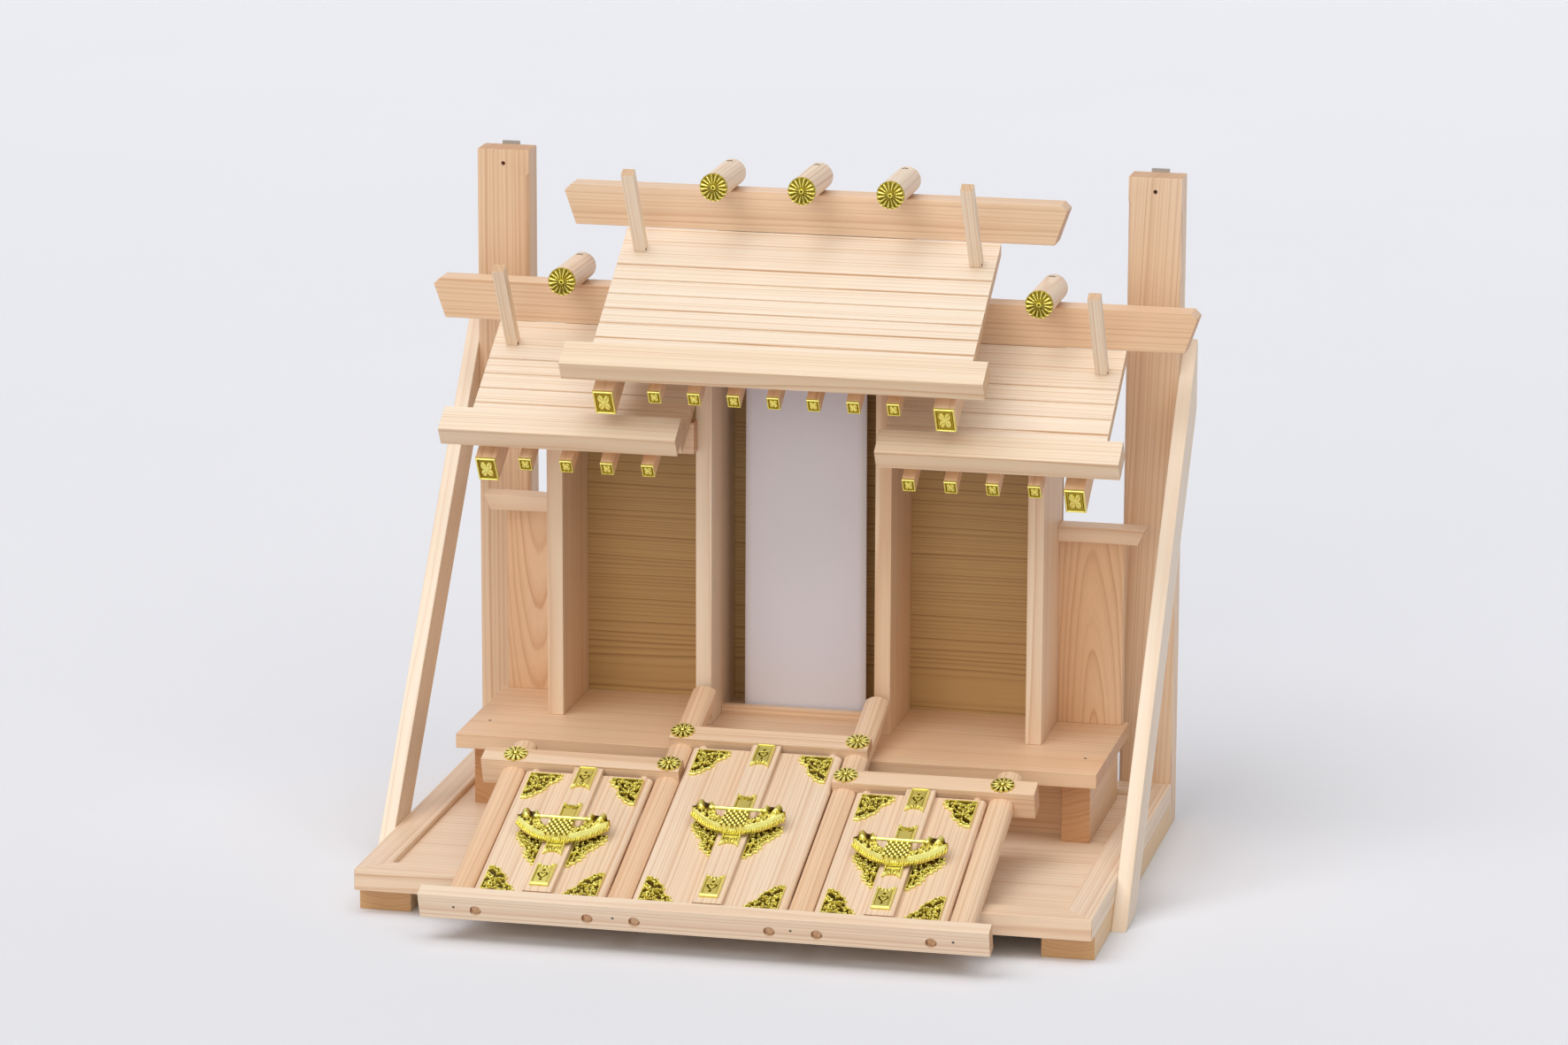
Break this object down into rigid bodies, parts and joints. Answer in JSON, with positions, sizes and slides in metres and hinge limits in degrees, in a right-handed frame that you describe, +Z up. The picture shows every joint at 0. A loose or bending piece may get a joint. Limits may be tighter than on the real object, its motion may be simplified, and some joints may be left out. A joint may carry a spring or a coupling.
{
  "type": "kamidana household altar",
  "caption": "Wooden household altar: a three-bay shrine with stepped roofs on a framed tray with wall posts and struts, its double doors on a front frame that leans on the tray.",
  "frame": {"origin": "on the ground under the middle of the whole altar", "axes": "+X to the viewer's right across the front, +Y to the back, +Z up"},
  "size_m": [0.431, 0.3204, 0.3759],
  "materials": {
    "cream_cypress": "planed bare cypress, creamy",
    "pink_cypress": "planed bare cypress, pinkish",
    "tan_board": "planed bare board with fine level grain",
    "gilt": "bright embossed gilt brass sheet",
    "paper": "plain folded white paper",
    "steel_plate": "plain zinc plate"
  },
  "bodies": {
    "altar": {"back_panel": "tan_board", "centre_roof_board": "cream_cypress", "door_posts": "pink_cypress", "door_sill_rail": "pink_cypress", "eave_boards": "cream_cypress", "floor_board": "pink_cypress", "floor_cross_rail": "pink_cypress", "floor_legs": "pink_cypress", "gilt_rosettes": "gilt", "head_rails": "pink_cypress", "inner_walls": "pink_cypress", "outer_walls": "pink_cypress", "paper_talisman": "paper", "rafter_caps": "gilt", "rafters": "pink_cypress", "ridge_boards": "pink_cypress", "ridge_logs": "pink_cypress", "roof_finials": "cream_cypress", "screen_panels": "pink_cypress", "screen_rails": "pink_cypress", "side_lintels": "pink_cypress", "side_roof_boards": "cream_cypress", "side_struts": "cream_cypress", "talisman_sill": "pink_cypress", "tray_battens": "cream_cypress", "tray_long_rails": "pink_cypress", "tray_panel": "pink_cypress", "tray_short_rails": "pink_cypress", "wall_hangers": "steel_plate", "wall_posts": "pink_cypress"},
    "left_bay_left_door": {"left_bay_left_leaf": "pink_cypress", "left_bay_left_leaf_fittings": "gilt", "left_bay_cover_strip": "pink_cypress"},
    "left_bay_right_door": {"left_bay_right_leaf": "pink_cypress", "left_bay_right_leaf_fittings": "gilt"},
    "centre_bay_left_door": {"centre_bay_left_leaf": "pink_cypress", "centre_bay_left_leaf_fittings": "gilt", "centre_bay_cover_strip": "pink_cypress"},
    "centre_bay_right_door": {"centre_bay_right_leaf": "pink_cypress", "centre_bay_right_leaf_fittings": "gilt"},
    "right_bay_left_door": {"right_bay_left_leaf": "pink_cypress", "right_bay_left_leaf_fittings": "gilt", "right_bay_cover_strip": "pink_cypress"},
    "right_bay_right_door": {"right_bay_right_leaf": "pink_cypress", "right_bay_right_leaf_fittings": "gilt"}
  },
  "joints": [
    {"name": "left_bay_left_hinge", "type": "hinge", "parent": "altar", "child": "left_bay_left_door", "pos_m": [-0.1222, -0.12046, 0.03064], "axis": [0, -0.9541, -0.2996], "range_deg": [0, 90]},
    {"name": "left_bay_right_hinge", "type": "hinge", "parent": "altar", "child": "left_bay_right_door", "pos_m": [-0.0616, -0.12046, 0.03064], "axis": [0, 0.9541, 0.2996], "range_deg": [0, 90]},
    {"name": "centre_bay_left_hinge", "type": "hinge", "parent": "altar", "child": "centre_bay_left_door", "pos_m": [-0.0362, -0.12046, 0.03064], "axis": [0, -0.9541, -0.2996], "range_deg": [0, 90]},
    {"name": "centre_bay_right_hinge", "type": "hinge", "parent": "altar", "child": "centre_bay_right_door", "pos_m": [0.0362, -0.12046, 0.03064], "axis": [0, 0.9541, 0.2996], "range_deg": [0, 90]},
    {"name": "right_bay_left_hinge", "type": "hinge", "parent": "altar", "child": "right_bay_left_door", "pos_m": [0.0616, -0.12046, 0.03064], "axis": [0, -0.9541, -0.2996], "range_deg": [0, 90]},
    {"name": "right_bay_right_hinge", "type": "hinge", "parent": "altar", "child": "right_bay_right_door", "pos_m": [0.1222, -0.12046, 0.03064], "axis": [0, 0.9541, 0.2996], "range_deg": [0, 90]}
  ],
  "couplings": [
    {"joint": "left_bay_right_hinge", "follows": "left_bay_left_hinge", "ratio": 1},
    {"joint": "centre_bay_right_hinge", "follows": "centre_bay_left_hinge", "ratio": 1},
    {"joint": "right_bay_right_hinge", "follows": "right_bay_left_hinge", "ratio": 1}
  ]
}
